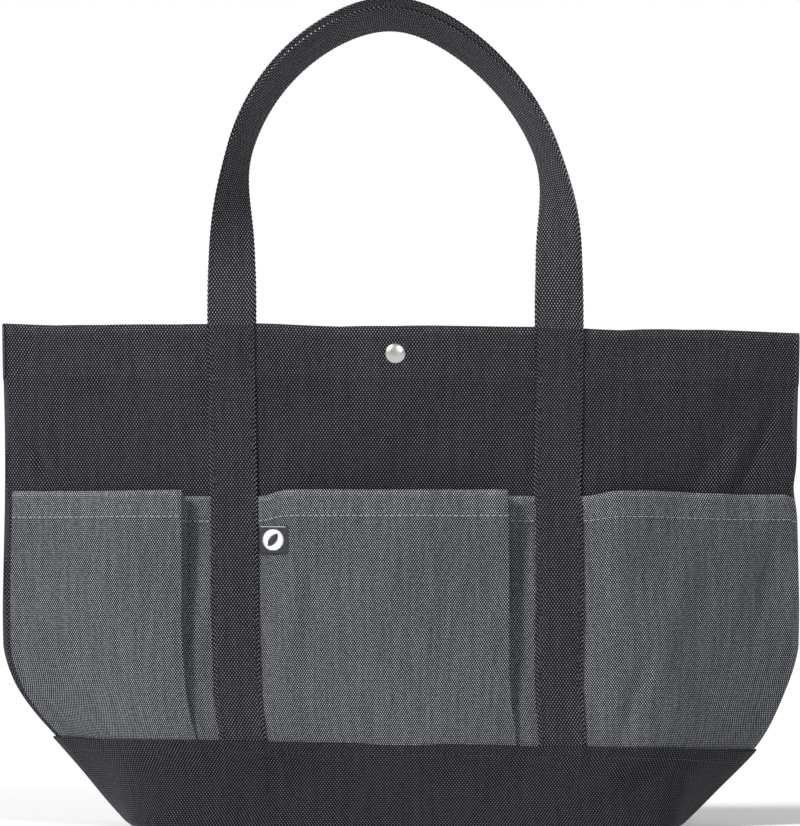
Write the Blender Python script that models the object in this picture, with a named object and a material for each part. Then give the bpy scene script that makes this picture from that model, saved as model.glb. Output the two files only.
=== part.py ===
"""Garden tool bag: an open-topped canvas tote with pleated outer pockets, two webbing
handles and a press snap at the mouth. Metres, +Z up, origin at the centre of the base.
Front is -Y. Cloth is modelled as thin closed solids, one object for each sewn piece."""

import math

import bmesh
import bpy
from mathutils import Matrix, Vector

# ---- driving dimensions, metres ----
RIM_Z = 0.319  # height of the mouth
BAND_Z = 0.051  # top of the dark base band
POCKET_Z = 0.213  # top of the outer pockets
BASE_HALF_X = 0.178
RIM_HALF_X = 0.2535
SIDE_CURVE_Z = 0.115  # the sides flare out from the base up to here
SIDE_CURVE_POWER = 1.6
BASE_HALF_Y = 0.082
RIM_HALF_Y = 0.047
LEAN_POWER = 1.8  # how quickly the walls lean in above the base
CORNER_HALF_X = 0.136  # where the flat front turns back towards the side seam
CORNER_CURVE_Z = 0.160
CORNER_ROUND = 0.011

CANVAS = 0.0020  # cloth with its turnings
POCKET_CLOTH = 0.0016
WEBBING = 0.0024
GAP = 0.0003  # between touching solids
MOVING_HALF_X = 0.1235  # the middle of each wall moves when the mouth closes
SPLIT_GAP = 0.0010

SEWN_X = -0.0035  # the straps, the middle pocket and the snap sit a little left of the middle
STRAP_WIDTH = 0.030
STRAP_X = 0.104  # centre of each sewn strap, from SEWN_X
PLEAT_FOOT = 0.0025  # from the strap's edge to the foot of the pleat
PLEAT_WIDTH = 0.019  # from the foot of the pleat to its ridge
PLEAT_DEPTH_TOP = 0.014
PLEAT_DEPTH_BOTTOM = 0.0032
POCKET_END_DEPTH = 0.0022  # outer face over the panel, at the side seam
POCKET_END_INSET = 0.003

FRONT_HANDLE_TOP = 0.194  # centre of the webbing above the rim
BACK_HANDLE_TOP = 0.203
HANDLE_HINGE_OUT = 0.0005  # the handle turns about a line just outside the strap's face
HANDLE_LEG = 0.060  # the straight part of each leg above the rim
HANDLE_SHOULDER = Vector((0.106, 0.145))  # control points of the arch's curve, in x and height
HANDLE_CROWN_X = 0.060
HANDLE_TWIST = math.radians(66)
HANDLE_TWIST_Z = 0.135  # height above the rim where the twist is complete

SNAP_Z = 0.300
CAP_RADIUS = 0.0064
CAP_HEIGHT = 0.0022
SNAP_RING_RADIUS = 0.0055
SNAP_PLATE = 0.0008
SOCKET_HEIGHT = 0.0036
SOCKET_BORE_RADIUS = 0.0032
STUD_RADIUS = 0.0028
STUD_HEIGHT = 0.0024
RIVET_RADIUS = 0.0015
RIVET_HOLE_RADIUS = 0.0018

LABEL_SIZE = 0.019
LABEL_THICK = 0.0007
LABEL_Z = 0.182
SEAM_FIN = 0.0016  # thickness of the bound seam allowance
SEAM_FIN_WIDTH = 0.010

COLOURS = {
    "dark_canvas": ((0.045, 0.044, 0.050), 0.92, 0.0),
    "grey_canvas": ((0.125, 0.130, 0.140), 0.92, 0.0),
    "webbing": ((0.050, 0.050, 0.057), 0.85, 0.0),
    "nickel": ((0.62, 0.61, 0.59), 0.35, 1.0),
    "label": ((0.20, 0.21, 0.24), 0.80, 0.0),
    "binding": ((0.030, 0.030, 0.034), 0.90, 0.0),
}

LEFT, RIGHT = -1, 1
FRONT, BACK = -1, 1


def clear_scene():
    for obj in list(bpy.data.objects):
        bpy.data.objects.remove(obj, do_unlink=True)


def make_materials():
    made = {}
    for name, (colour, roughness, metallic) in COLOURS.items():
        material = bpy.data.materials.new(name)
        material.use_nodes = True
        shader = material.node_tree.nodes["Principled BSDF"]
        shader.inputs["Base Color"].default_value = (*colour, 1.0)
        shader.inputs["Roughness"].default_value = roughness
        shader.inputs["Metallic"].default_value = metallic
        made[name] = material
    return made


def add_object(name, mesh, material):
    mesh.materials.append(material)
    obj = bpy.data.objects.new(name, mesh)
    bpy.context.scene.collection.objects.link(obj)
    return obj


def spaced(low, high, count):
    """count + 1 even steps from low to high."""
    return [low + (high - low) * i / count for i in range(count + 1)]


def wall_rows(top=RIM_Z):
    """Heights shared by every piece of the wall, so that neighbours follow one surface."""
    rows = spaced(BAND_Z + GAP, POCKET_Z, 8) + spaced(POCKET_Z, RIM_Z, 4)[1:]
    return [z for z in rows if z < top + GAP]


def sheet_solid(name, outer, inner, material):
    """A closed sheet between two grids of points: outer[row][column] faces out."""
    bm = bmesh.new()
    rows, columns = len(outer), len(outer[0])
    skins = [[[bm.verts.new(p) for p in row] for row in grid] for grid in (outer, inner)]
    for i in range(rows - 1):
        for j in range(columns - 1):
            for grid in skins:
                bm.faces.new((grid[i][j], grid[i][j + 1], grid[i + 1][j + 1], grid[i + 1][j]))
    border = [(0, j) for j in range(columns)]
    border += [(i, columns - 1) for i in range(1, rows)]
    border += [(rows - 1, j) for j in range(columns - 2, -1, -1)]
    border += [(i, 0) for i in range(rows - 2, 0, -1)]
    for (i, j), (k, m) in zip(border, border[1:] + border[:1]):
        bm.faces.new((skins[0][i][j], skins[1][i][j], skins[1][k][m], skins[0][k][m]))
    bmesh.ops.recalc_face_normals(bm, faces=bm.faces)
    mesh = bpy.data.meshes.new(name)
    bm.to_mesh(mesh)
    bm.free()
    return add_object(name, mesh, material)


# ---- the bag's outline at a height ----


def half_width(z):
    """Distance of the side seam from the middle."""
    rise = max(0.0, 1 - z / SIDE_CURVE_Z)
    return RIM_HALF_X - (RIM_HALF_X - BASE_HALF_X) * rise**SIDE_CURVE_POWER


def half_depth(z):
    """Distance of the flat front or back from the middle."""
    rise = max(0.0, 1 - z / RIM_Z)
    return RIM_HALF_Y + (BASE_HALF_Y - RIM_HALF_Y) * rise**LEAN_POWER


def corner_x(z):
    """Where the flat front meets the slanting side."""
    rise = max(0.0, 1 - z / CORNER_CURVE_Z)
    return CORNER_HALF_X + (BASE_HALF_X - CORNER_HALF_X) * rise**SIDE_CURVE_POWER


def slant_outline(z, start_x, end_inset=0.0, ends=3, rounds=4):
    """Points (x, y) with y positive outward, from start_x round the corner to the side seam,
    stopping end_inset short of it. The corner is a quadratic curve."""
    corner = Vector((corner_x(z), half_depth(z)))
    tip = Vector((half_width(z), 0.0))
    along = (tip - corner).normalized()
    last = tip - along * end_inset
    first_round = corner - Vector((CORNER_ROUND, 0.0))
    last_round = corner + along * CORNER_ROUND
    points = [Vector((start_x, half_depth(z))).lerp(first_round, t) for t in (0.0, 0.5)]
    for t in spaced(0, 1, rounds):
        points.append(
            first_round * (1 - t) ** 2 + corner * 2 * t * (1 - t) + last_round * t**2
        )
    points += [last_round.lerp(last, t) for t in spaced(0, 1, ends)[1:]]
    return points


def offset_outline(points, distances):
    """Moves each point of an open outline sideways: positive is away from the bag."""
    moved = []
    for i, (p, distance) in enumerate(zip(points, distances)):
        step = points[min(i + 1, len(points) - 1)] - points[max(i - 1, 0)]
        normal = Vector((-step.y, step.x)).normalized()
        moved.append(p + normal * distance)
    return moved


def place(points, z, side, face):
    """Turns outline points into points of the bag, on one side and one face of it."""
    return [Vector((side * p.x, face * p.y, z)) for p in points]


# ---- cloth pieces ----


def side_panel(name, side, face, material):
    outer, inner = [], []
    start = MOVING_HALF_X + SPLIT_GAP
    for z in wall_rows():
        line = slant_outline(z, start)
        skin = offset_outline(line, [-CANVAS] * len(line))
        line = [Vector((p.x, max(p.y, GAP / 2))) for p in line]
        skin = [Vector((p.x, max(p.y, GAP / 2))) for p in skin]
        skin[0].x = start
        outer.append(place(line, z, side, face))
        inner.append(place(skin, z, side, face))
    return sheet_solid(name, outer, inner, material)


def middle_panel(name, face, material):
    outer, inner = [], []
    for z in wall_rows():
        columns = spaced(-MOVING_HALF_X, MOVING_HALF_X, 4)
        outer.append([Vector((x, face * half_depth(z), z)) for x in columns])
        inner.append([Vector((x, face * (half_depth(z) - CANVAS), z)) for x in columns])
    panel = sheet_solid(name, outer, inner, material)
    cut_rivet_hole(panel, face)
    return panel


def cut_rivet_hole(panel, face):
    """The snap's rivet goes through the cloth here."""
    bm = bmesh.new()
    bmesh.ops.create_cone(
        bm,
        cap_ends=True,
        segments=16,
        radius1=RIVET_HOLE_RADIUS,
        radius2=RIVET_HOLE_RADIUS,
        depth=6 * CANVAS,
        matrix=Matrix.Translation((SEWN_X, face * half_depth(SNAP_Z), SNAP_Z))
        @ Matrix.Rotation(math.pi / 2, 4, "X"),
    )
    mesh = bpy.data.meshes.new(panel.name + "_hole")
    bm.to_mesh(mesh)
    bm.free()
    cutter = bpy.data.objects.new(panel.name + "_hole", mesh)
    bpy.context.scene.collection.objects.link(cutter)
    cutter.hide_render = True
    cutter.display_type = "WIRE"
    hole = panel.modifiers.new("rivet_hole", "BOOLEAN")
    hole.operation = "DIFFERENCE"
    hole.object = cutter


def base_outline(z, inset, corners=3):
    """Closed loop of the base band at a height, with rounded corners, counter-clockwise."""
    quarter = slant_outline(z, 0.0, rounds=corners)
    quarter = offset_outline(quarter, [-inset] * len(quarter))
    quarter[0].x = 0.0
    quarter[-1].y = 0.0
    right_front = [Vector((p.x, -p.y)) for p in quarter]
    right_back = [Vector((p.x, p.y)) for p in reversed(quarter[:-1])]
    left_back = [Vector((-p.x, p.y)) for p in quarter[1:]]
    left_front = [Vector((-p.x, -p.y)) for p in reversed(quarter[1:-1])]
    return right_front + right_back + left_back + left_front


def base_panel(material):
    """One piece of canvas: the flat bottom and the band turned up round it."""
    bm = bmesh.new()
    heights = spaced(0.0, BAND_Z, 4)
    loops = [(z, 0.0) for z in heights] + [(z, CANVAS) for z in reversed(heights[1:])]
    loops.append((CANVAS, CANVAS))
    rings = []
    for z, inset in loops:
        rings.append([bm.verts.new((p.x, p.y, z)) for p in base_outline(z, inset)])
    for low, high in zip(rings, rings[1:]):
        for i in range(len(low)):
            j = (i + 1) % len(low)
            bm.faces.new((low[i], low[j], high[j], high[i]))
    bm.faces.new(rings[0])
    bm.faces.new(rings[-1])
    bmesh.ops.recalc_face_normals(bm, faces=bm.faces)
    mesh = bpy.data.meshes.new("base_panel")
    bm.to_mesh(mesh)
    bm.free()
    return add_object("base_panel", mesh, material)


def seam_binding(name, side, material):
    """The bound allowance of the side seam, standing into the bag from the seam."""
    near, far = [], []
    for z in wall_rows():
        slope = math.atan2(half_depth(z), half_width(z) - corner_x(z))
        clear = CANVAS + 2 * GAP + SEAM_FIN / 2 * math.cos(slope)
        outer_x = half_width(z) - clear / math.sin(slope)
        columns = (outer_x, outer_x - SEAM_FIN_WIDTH)
        near.append([Vector((side * x, -SEAM_FIN / 2, z)) for x in columns])
        far.append([Vector((side * x, SEAM_FIN / 2, z)) for x in columns])
    return sheet_solid(name, near, far, material)


def pleat_depth(z):
    """How far a pocket stands off the wall at its pleats."""
    rise = (z - BAND_Z) / (POCKET_Z - BAND_Z)
    return PLEAT_DEPTH_BOTTOM + (PLEAT_DEPTH_TOP - PLEAT_DEPTH_BOTTOM) * rise


def middle_pocket(name, face, material):
    foot = STRAP_X - STRAP_WIDTH / 2 - PLEAT_FOOT
    ridge = foot - PLEAT_WIDTH
    outer, inner = [], []
    for z in wall_rows(POCKET_Z):
        wall = half_depth(z) + GAP
        proud = half_depth(z) + pleat_depth(z)
        mid = ridge - POCKET_CLOTH / 2
        line = [(-foot, wall + GAP), (-ridge, proud), (0, proud), (ridge, proud)]
        line.append((foot, wall + GAP))
        skin = [(-foot + 2 * POCKET_CLOTH, wall), (-mid, proud - POCKET_CLOTH)]
        skin += [(0, proud - POCKET_CLOTH), (mid, proud - POCKET_CLOTH)]
        skin.append((foot - 2 * POCKET_CLOTH, wall))
        outer.append(place([Vector((SEWN_X + x, y)) for x, y in line], z, 1, face))
        inner.append(place([Vector((SEWN_X + x, y)) for x, y in skin], z, 1, face))
    return sheet_solid(name, outer, inner, material)


def side_pocket(name, side, face, material):
    """From the strap's outer edge, out over its pleat, then along the wall to the side seam."""
    foot = STRAP_X + STRAP_WIDTH / 2 + PLEAT_FOOT + 2 * SPLIT_GAP
    outer, inner = [], []
    for z in wall_rows(POCKET_Z):
        wall = slant_outline(z, foot, end_inset=POCKET_END_INSET)
        length = sum((q - p).length for p, q in zip(wall, wall[1:]))
        lifts, run = [], 0.0
        for i, p in enumerate(wall):
            run += (p - wall[i - 1]).length if i else 0.0
            rising = min(1.0, run / PLEAT_WIDTH)
            falling = min(1.0, (length - run) / (length - PLEAT_WIDTH))
            spare = pleat_depth(z) - POCKET_END_DEPTH
            lifts.append(POCKET_END_DEPTH + spare * min(rising, falling))
        outer.append(place(offset_outline(wall, lifts), z, side, face))
        thinner = [lift - POCKET_CLOTH for lift in lifts]
        inner.append(place(offset_outline(wall, thinner), z, side, face))
    return sheet_solid(name, outer, inner, material)


def sewn_strap(name, side, face, material):
    """The length of webbing sewn flat on the wall, from the base band to the rim."""
    outer, inner = [], []
    middle = SEWN_X + side * STRAP_X
    columns = (middle - STRAP_WIDTH / 2, middle + STRAP_WIDTH / 2)
    for z in wall_rows():
        near = half_depth(z) + GAP
        outer.append([Vector((x, face * (near + WEBBING), z)) for x in columns])
        inner.append([Vector((x, face * near, z)) for x in columns])
    return sheet_solid(name, outer, inner, material)


def handle_leg_and_arch(top, leg_steps=4, arch_steps=18):
    """Centre line of half a handle as (x, height above the rim), from its foot to its top."""
    points = [Vector((STRAP_X, h)) for h in spaced(0, HANDLE_LEG, leg_steps)]
    for t in spaced(0, 1, arch_steps)[1:]:
        u = 1 - t
        point = points[leg_steps] * u**3 + HANDLE_SHOULDER * 3 * t * u**2
        point += Vector((HANDLE_CROWN_X, top)) * 3 * t * t * u + Vector((0, top)) * t**3
        points.append(point)
    return points


def handle(name, face, top, material):
    """Webbing that leaves the rim flat, twists a little as it rises and arches over. Its outer
    edge is turned to the front all the way round."""
    outer, inner = [], []
    middle_y = face * (half_depth(RIM_Z) + GAP + WEBBING / 2)
    half = handle_leg_and_arch(top)
    line = half + [Vector((-p.x, p.y)) for p in reversed(half[:-1])]
    for i, centre in enumerate(line):
        ahead = line[min(i + 1, len(line) - 1)] - line[max(i - 1, 0)]
        along = Vector((ahead.x, 0, ahead.y)).normalized()
        outward = Vector((along.z, 0, -along.x))
        rise = min(1.0, centre.y / HANDLE_TWIST_Z)
        twist = HANDLE_TWIST * rise * rise * (3 - 2 * rise)
        across = outward * math.cos(twist) + Vector((0, -1, 0)) * math.sin(twist)
        normal = along.cross(across)
        middle = Vector((SEWN_X + centre.x, middle_y, RIM_Z + GAP + centre.y))
        widths = spaced(-STRAP_WIDTH / 2, STRAP_WIDTH / 2, 2)
        outer.append([middle + across * w + normal * WEBBING / 2 for w in widths])
        inner.append([middle + across * w - normal * WEBBING / 2 for w in widths])
    hinge_y = middle_y + face * (WEBBING / 2 + HANDLE_HINGE_OUT)
    made = sheet_solid(name, outer, inner, material)
    return move_origin(made, Vector((SEWN_X, hinge_y, RIM_Z + GAP)))


def move_origin(obj, point):
    """Puts an object's origin on its joint's axis and leaves its shape where it is."""
    obj.data.transform(Matrix.Translation(-point))
    obj.location = point
    return obj


def label(material):
    """A small woven tab sewn on the pleat beside the left strap."""
    foot = STRAP_X - STRAP_WIDTH / 2 - PLEAT_FOOT
    outer, inner = [], []
    for z in spaced(LABEL_Z - LABEL_SIZE / 2, LABEL_Z + LABEL_SIZE / 2, 2):
        low = Vector((-foot, half_depth(z) + 2 * GAP))
        high = Vector((-foot + PLEAT_WIDTH, half_depth(z) + pleat_depth(z)))
        along = (high - low).normalized()
        out = Vector((-along.y, along.x))
        first = low + along * 0.0008
        ends = (first, first + along * LABEL_SIZE)
        ends = [p + Vector((SEWN_X, 0)) for p in ends]
        outer.append(place([p + out * (GAP + LABEL_THICK) for p in ends], z, 1, FRONT))
        inner.append(place([p + out * GAP for p in ends], z, 1, FRONT))
    return sheet_solid("label_tab", outer, inner, material)


# ---- snap fastener: turned parts about an axis along Y ----


def turned(name, profile, face, outward, start, material):
    """Spins a profile of (radius, height) round the snap's axis. Height runs outward from the
    wall, or inward, and start is the distance from the bag's middle where height is 0."""
    bm = bmesh.new()
    direction = 1 if outward else -1
    points = [Vector((r, face * (start + direction * h), 0)) for r, h in profile]
    verts = [bm.verts.new(p) for p in points]
    edges = [bm.edges.new(pair) for pair in zip(verts, verts[1:])]
    if profile[0][0] > 0:
        edges.append(bm.edges.new((verts[-1], verts[0])))
    bmesh.ops.spin(
        bm, geom=verts + edges, axis=(0, 1, 0), cent=(0, 0, 0), angle=2 * math.pi, steps=24
    )
    bmesh.ops.remove_doubles(bm, verts=bm.verts, dist=1e-6)
    bmesh.ops.recalc_face_normals(bm, faces=bm.faces)
    bmesh.ops.translate(bm, verts=bm.verts, vec=(SEWN_X, 0, SNAP_Z))
    mesh = bpy.data.meshes.new(name)
    bm.to_mesh(mesh)
    bm.free()
    mesh.shade_smooth()
    mesh.set_sharp_from_angle(angle=math.radians(40))
    return add_object(name, mesh, material)


def cap_profile():
    """A domed cap and the rivet that goes through the cloth and the plate behind it."""
    rivet_length = CANVAS + 2 * GAP + SNAP_PLATE + GAP
    dome = [
        (CAP_RADIUS * math.cos(a), 0.0005 + (CAP_HEIGHT - 0.0005) * math.sin(a))
        for a in spaced(0, math.pi / 2, 5)
    ]
    dome[-1] = (0.0, CAP_HEIGHT)
    return [(0.0, -rivet_length), (RIVET_RADIUS, -rivet_length), (RIVET_RADIUS, 0.0)] + [
        (CAP_RADIUS, 0.0)
    ] + dome


def socket_profile():
    """A cup with a rivet hole in its plate and a bore that takes the stud."""
    return [
        (RIVET_HOLE_RADIUS, 0.0),
        (SNAP_RING_RADIUS, 0.0),
        (SNAP_RING_RADIUS, SOCKET_HEIGHT - 0.0008),
        (SNAP_RING_RADIUS - 0.0008, SOCKET_HEIGHT),
        (SOCKET_BORE_RADIUS, SOCKET_HEIGHT),
        (SOCKET_BORE_RADIUS, SNAP_PLATE),
        (RIVET_HOLE_RADIUS, SNAP_PLATE),
    ]


def stud_profile():
    """A plate with a rivet hole and the round-headed stud on it."""
    top = SNAP_PLATE + STUD_HEIGHT
    return [
        (RIVET_HOLE_RADIUS, 0.0),
        (SNAP_RING_RADIUS, 0.0),
        (SNAP_RING_RADIUS, SNAP_PLATE),
        (STUD_RADIUS - 0.0003, SNAP_PLATE),
        (STUD_RADIUS, SNAP_PLATE + 0.6 * STUD_HEIGHT),
        (STUD_RADIUS - 0.0005, top),
        (RIVET_HOLE_RADIUS, top),
    ]


def snap_parts(metal):
    wall = half_depth(SNAP_Z)
    turned("snap_cap", cap_profile(), FRONT, True, wall + GAP, metal)
    turned("snap_socket", socket_profile(), FRONT, False, wall - CANVAS - GAP, metal)
    turned("snap_stud", stud_profile(), BACK, False, wall - CANVAS - GAP, metal)
    turned("snap_stud_cap", cap_profile(), BACK, True, wall + GAP, metal)


def main():
    clear_scene()
    made = make_materials()
    dark, grey, webbing = made["dark_canvas"], made["grey_canvas"], made["webbing"]
    base_panel(dark)
    for side, side_name in ((LEFT, "left"), (RIGHT, "right")):
        seam_binding(f"side_seam_{side_name}", side, made["binding"])
    for face, face_name in ((FRONT, "front"), (BACK, "back")):
        middle_panel(f"{face_name}_panel_middle", face, dark)
        middle_pocket(f"{face_name}_pocket_middle", face, grey)
        for side, side_name in ((LEFT, "left"), (RIGHT, "right")):
            side_panel(f"{face_name}_panel_{side_name}", side, face, dark)
            side_pocket(f"{face_name}_pocket_{side_name}", side, face, grey)
            sewn_strap(f"{face_name}_strap_{side_name}", side, face, webbing)
    handle("front_handle", FRONT, FRONT_HANDLE_TOP, webbing)
    handle("back_handle", BACK, BACK_HANDLE_TOP, webbing)
    label(made["label"])
    snap_parts(made["nickel"])


main()
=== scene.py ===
import math
from types import SimpleNamespace

import bmesh
import bpy
import numpy as np
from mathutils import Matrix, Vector


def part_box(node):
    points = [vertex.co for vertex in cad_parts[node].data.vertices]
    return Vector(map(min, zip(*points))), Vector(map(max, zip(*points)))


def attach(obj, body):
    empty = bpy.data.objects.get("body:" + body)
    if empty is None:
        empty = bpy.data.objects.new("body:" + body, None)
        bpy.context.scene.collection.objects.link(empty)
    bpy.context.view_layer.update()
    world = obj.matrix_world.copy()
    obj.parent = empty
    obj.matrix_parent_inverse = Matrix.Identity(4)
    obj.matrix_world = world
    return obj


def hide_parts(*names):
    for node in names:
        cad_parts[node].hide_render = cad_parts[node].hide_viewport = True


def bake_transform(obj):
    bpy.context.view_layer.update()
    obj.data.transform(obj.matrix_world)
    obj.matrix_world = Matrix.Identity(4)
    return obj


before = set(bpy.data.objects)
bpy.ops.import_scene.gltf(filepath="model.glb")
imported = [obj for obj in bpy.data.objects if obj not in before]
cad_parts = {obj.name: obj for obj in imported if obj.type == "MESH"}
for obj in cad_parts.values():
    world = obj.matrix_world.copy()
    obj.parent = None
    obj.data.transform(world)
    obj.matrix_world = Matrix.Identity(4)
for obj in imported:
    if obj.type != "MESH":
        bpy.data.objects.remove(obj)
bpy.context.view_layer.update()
bpy.context.scene.view_settings.view_transform = "Standard"
front, back = -1, 1  # the sign of y on each face
faceNames = {front: "front", back: "back"}
sideNames = {-1: "Left", 1: "Right"}
print("frame loaded")


def cadBox(node):
    return [np.array(corner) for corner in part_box(node)]


wallHigh = cadBox("front_panel_middle")[1]
bandHigh = cadBox("base_panel")[1]
strapBoxes = {-1: cadBox("front_strap_left"), 1: cadBox("front_strap_right")}

bag = {
    "rimHeight": wallHigh[2],
    "bandHeight": bandHigh[2],
    "pocketHeight": cadBox("front_pocket_middle")[1][2],
    "rimHalfWidth": cadBox("front_panel_right")[1][0],
    "baseHalfWidth": 0.178,
    "baseHalfDepth": bandHigh[1],
    "rimHalfDepth": 0.002 - wallHigh[1],
    "sideCurveHeight": 0.115,  # the sides flare out from the base up to here
    "cornerHalfWidth": 0.136,  # where the flat face turns back to the side seam
    "cornerCurveHeight": 0.160,
    "cornerRound": 0.024,
    "leanPower": 1.8,
    "curvePower": 1.6,
}


def smooth(t):
    t = np.clip(t, 0, 1)
    return t * t * (3 - 2 * t)


def unit(vectors):
    return vectors / np.maximum(np.linalg.norm(vectors, axis=-1, keepdims=True), 1e-12)


# How far the outline at height z still has to grow, as a power of the height left.
def rise(z, top, power):
    return np.clip(1 - z / top, 0, 1) ** power


def halfWidth(z):
    spread = bag["rimHalfWidth"] - bag["baseHalfWidth"]
    return bag["rimHalfWidth"] - spread * rise(z, bag["sideCurveHeight"], bag["curvePower"])


def halfDepth(z):
    lean = bag["baseHalfDepth"] - bag["rimHalfDepth"]
    return bag["rimHalfDepth"] + lean * rise(z, bag["rimHeight"], bag["leanPower"])


def cornerWidth(z):
    spread = bag["baseHalfWidth"] - bag["cornerHalfWidth"]
    grow = rise(z, bag["cornerCurveHeight"], bag["curvePower"])
    return bag["cornerHalfWidth"] + spread * grow


# Length of cloth from the middle of a face to its side seam.
def wallRun(z):
    return cornerWidth(z) + np.hypot(halfWidth(z) - cornerWidth(z), halfDepth(z))


# Length of cloth from a point to the nearer side seam.
def fromSeam(s, z):
    return wallRun(z) - np.abs(s)


# Half an outline is a straight front and a straight side, joined by a hyperbola that has
# those two as its asymptotes. s is the distance along the cloth from the middle of the face.
def outline(s, z):
    a, w, d = cornerWidth(z), halfWidth(z), halfDepth(z)
    b = np.hypot(w - a, d)

    def ramp(t):
        return (t + np.hypot(t, bag["cornerRound"])) / 2

    t = np.abs(s) - a
    past = b * (ramp(t) - ramp(-a)) / (ramp(b) - ramp(-a))
    short = a * (ramp(-t) - ramp(-b)) / (ramp(a) - ramp(-b))
    x = np.sign(s) * (a - short + past * (w - a) / b)
    return x, d * (1 - past / b)


# The sewn bag isn't true: the rim and the band drop a little to the right and wander, and the
# foot stands narrower than it was cut.
sway = {
    "rimSink": 0.0030,
    "rimDrop": 0.0026,
    "rimWave": 0.0006,
    "rimEnds": 0.0016,
    "bandLift": 0.0012,
    "bandDrop": 0.0041,
    "footNarrow": 0.022,  # this and the next two are shares of the width
    "mouthTuck": 0.008,  # the right side draws in at the pocket's mouth
    "sideBulge": 0.003,
    "footShift": 0.0026,
}


def swayHeight(s, z, face):
    x = s / bag["rimHalfWidth"]
    nearRim = smooth((z - 0.23) / 0.09)
    nearBand = np.exp(-(((z - bag["bandHeight"]) / 0.035) ** 2))
    waves = np.sin(9.5 * x + 0.6 * face) + 0.6 * np.sin(17 * x + 2 + face)
    ends = sway["rimEnds"] * x * x
    drop = nearRim * (sway["rimWave"] * waves - sway["rimDrop"] * x - sway["rimSink"] - ends)
    return drop + (sway["bandLift"] - sway["bandDrop"] * x) * nearBand


# Creases as (s, z, angle, half length, half width, depth): a Gaussian furrow along a short line.
creases = {
    front: [
        (-0.238, 0.232, -62, 0.020, 0.0045, -0.0038), (-0.228, 0.226, -58, 0.024, 0.0060, 0.0024),
        (-0.246, 0.205, -78, 0.045, 0.0040, -0.0014), (0.238, 0.246, 66, 0.034, 0.0060, -0.0036),
        (0.222, 0.236, 60, 0.032, 0.0080, 0.0026), (0.205, 0.232, 48, 0.026, 0.0080, -0.0020),
        (0.243, 0.160, 80, 0.050, 0.0045, -0.0010),
        (-0.205, 0.082, 38, 0.030, 0.0070, -0.0016), (0.205, 0.080, -40, 0.030, 0.0075, -0.0018),
        (0.150, 0.024, 38, 0.034, 0.0085, -0.0022), (0.128, 0.030, 42, 0.030, 0.0080, 0.0016),
        (-0.145, 0.026, -36, 0.030, 0.0090, -0.0016), (-0.030, 0.028, 8, 0.060, 0.0090, 0.0010),
        (-0.150, 0.275, 82, 0.040, 0.0120, 0.0010), (0.165, 0.262, -75, 0.050, 0.0130, -0.0011),
        (-0.045, 0.252, 12, 0.045, 0.0110, 0.0009), (0.050, 0.240, -16, 0.050, 0.0120, -0.0010),
    ],
    back: [
        (-0.232, 0.244, 64, 0.034, 0.0065, -0.0022), (0.236, 0.238, -62, 0.030, 0.0060, -0.0022),
        (-0.060, 0.262, 20, 0.060, 0.0120, -0.0014), (0.070, 0.246, -24, 0.055, 0.0120, 0.0012),
        (-0.200, 0.080, 36, 0.030, 0.0070, -0.0016), (0.204, 0.082, -36, 0.030, 0.0070, -0.0016),
    ],
}


def furrows(s, z, marks):
    total = 0
    for s0, z0, angle, length, width, depth in marks:
        turn = math.radians(angle)
        along = (s - s0) * math.cos(turn) + (z - z0) * math.sin(turn)
        across = (z - z0) * math.cos(turn) - (s - s0) * math.sin(turn)
        total = total + depth * np.exp(-((along / length) ** 2) - (across / width) ** 2)
    return total


# Slow waves as (height, turn with s, turn with z, phase, phase by face).
slowWaves = [
    (0.0008, 38, 20, 0, 0.4), (0.0006, -61, 45, 1.9, 1), (0.0004, 97, 25, 0.7, -1),
    (0.0003, 131, -82, 0, 2.6),
]


# Relief of loose cloth: the waves, a slight belly and the creases. It dies away at the side
# seams and at the foot of the bag.
def relief(s, z, face):
    total = 0.0022 * np.exp(-(((z - 0.16) / 0.10) ** 2)) * smooth((0.17 - np.abs(s)) / 0.12)
    for height, turnS, turnZ, phase, byFace in slowWaves:
        total = total + height * np.sin(turnS * s + turnZ * z + phase + byFace * face)
    total = total + furrows(s, z, creases[face])
    return total * smooth(fromSeam(s, z) / 0.022) * smooth(z / 0.03)


# The sway of the outline: x at height z, narrowed, tucked, bulged and shifted.
def footSway(x, z):
    low = sway["footNarrow"] * (1 - smooth((z - 0.022) / 0.045))
    rightSide = 0.5 + 0.5 * np.sign(x)
    tuck = sway["mouthTuck"] * np.exp(-(((z - 0.214) / 0.011) ** 2)) * rightSide
    bulge = sway["sideBulge"] * np.sin(31 * z + 0.8) * smooth((z - 0.09) / 0.05)
    shift = sway["footShift"] * (1 - smooth((z - 0.045) / 0.045))
    return x * (1 - low - tuck - bulge) + shift


def wallPoint(s, z, face):
    x, y = outline(s, z)
    return np.stack([footSway(x, z), face * y, z + swayHeight(s, z, face)], -1)


# A point of the wall's cloth, moved out along the wall's own normal by the relief and a lift.
# At the side seam the normal turns to point straight sideways, so both faces meet.
def clothPoint(s, z, lift, face):
    s, z, lift = np.broadcast_arrays(s, z, lift)
    step = 0.0006
    across = wallPoint(s + step, z, face) - wallPoint(s - step, z, face)
    up = wallPoint(s, z + step, face) - wallPoint(s, z - step, face)
    normal = unit(np.cross(across, up) * -face)
    normal[..., 1] *= smooth(fromSeam(s, z) / 0.006)
    return wallPoint(s, z, face) + unit(normal) * (relief(s, z, face) + lift)[..., None]


# Normals of a grid of points, from the cross product of its two directions.
def gridNormals(grid, face=front):
    return unit(np.cross(np.gradient(grid, axis=1), np.gradient(grid, axis=0))) * -face


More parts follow.
